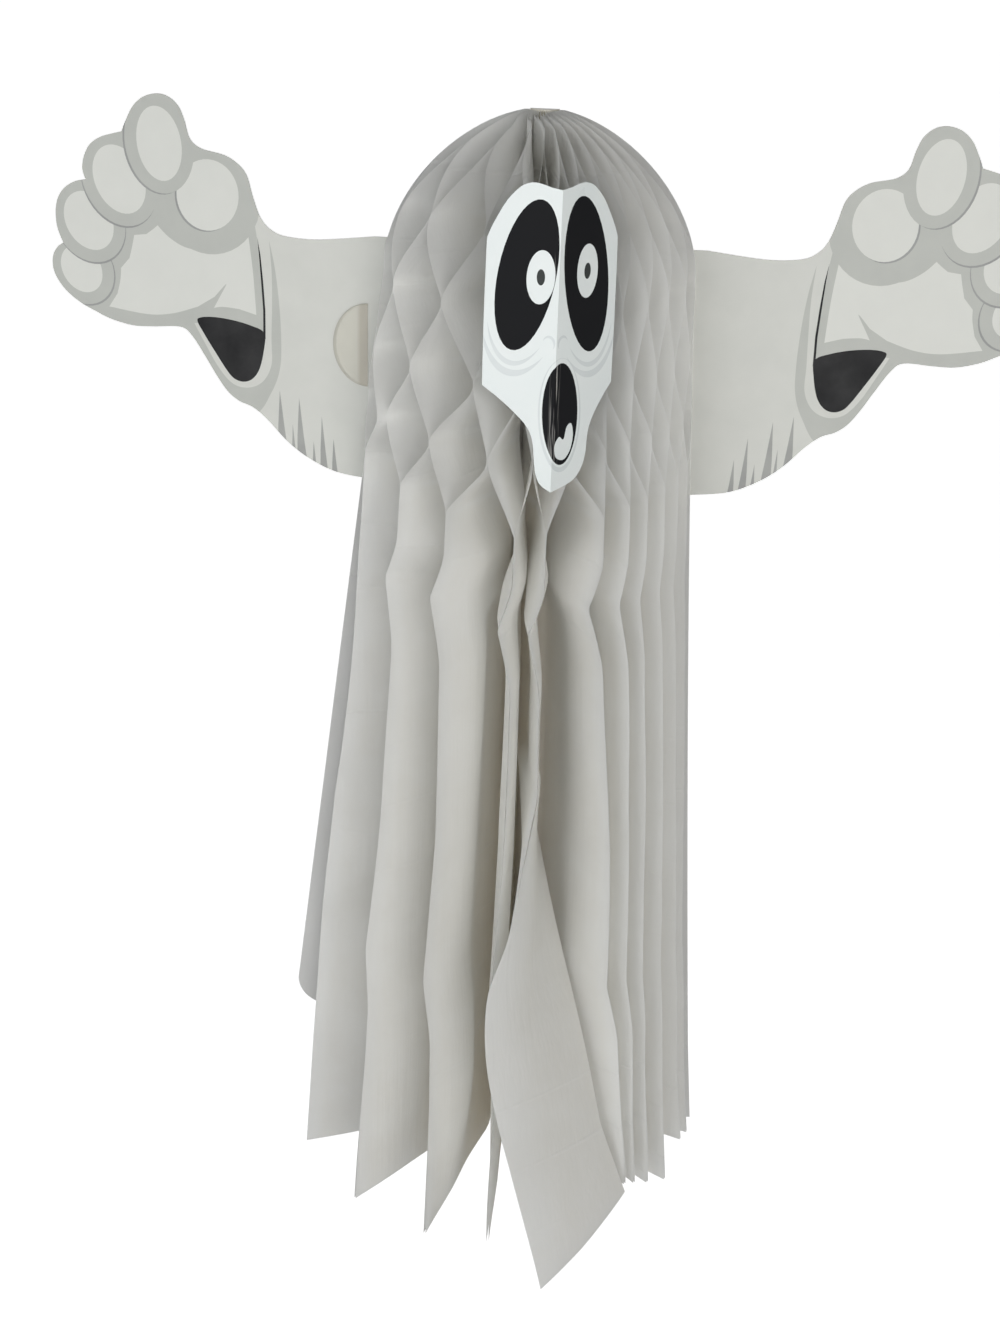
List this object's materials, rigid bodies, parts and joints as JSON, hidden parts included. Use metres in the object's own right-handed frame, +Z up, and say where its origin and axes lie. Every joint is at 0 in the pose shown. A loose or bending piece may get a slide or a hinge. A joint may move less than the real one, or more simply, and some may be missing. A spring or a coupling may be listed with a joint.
{
  "type": "honeycomb paper ghost",
  "caption": "Hanging party ghost: a half fan of white honeycomb tissue leaves on a card band with two raised hands and a folded face card.",
  "frame": {"origin": "the top of the glued spine, where the ghost is hung", "axes": "+Z up along the spine, -Y out of the ghost's front, +X to the viewer's right"},
  "size_m": [0.4704, 0.139, 0.5659],
  "materials": {
    "white_tissue": "thin matte translucent tissue paper",
    "clear_glue": "dried clear glue",
    "white_card": "printed white card, half matte",
    "coated_card": "printed and coated white card",
    "aged_film": "yellowed clear film"
  },
  "bodies": {
    "root": {"tissue_leaf_01": "white_tissue", "tissue_leaf_02": "white_tissue", "tissue_leaf_03": "white_tissue", "tissue_leaf_04": "white_tissue", "tissue_leaf_05": "white_tissue", "tissue_leaf_06": "white_tissue", "tissue_leaf_07": "white_tissue", "tissue_leaf_08": "white_tissue", "tissue_leaf_09": "white_tissue", "tissue_leaf_10": "white_tissue", "tissue_leaf_11": "white_tissue", "tissue_leaf_12": "white_tissue", "tissue_leaf_13": "white_tissue", "tissue_leaf_14": "white_tissue", "tissue_leaf_15": "white_tissue", "tissue_leaf_16": "white_tissue", "tissue_leaf_17": "white_tissue", "tissue_leaf_18": "white_tissue", "tissue_leaf_19": "white_tissue", "tissue_leaf_20": "white_tissue", "tissue_leaf_21": "white_tissue", "tissue_leaf_22": "white_tissue", "tissue_leaf_23": "white_tissue", "tissue_leaf_24": "white_tissue", "spine_glue_bead": "clear_glue", "arm_card": "white_card", "face_card": "coated_card", "seal_remnant": "aged_film"}
  },
  "joints": []
}
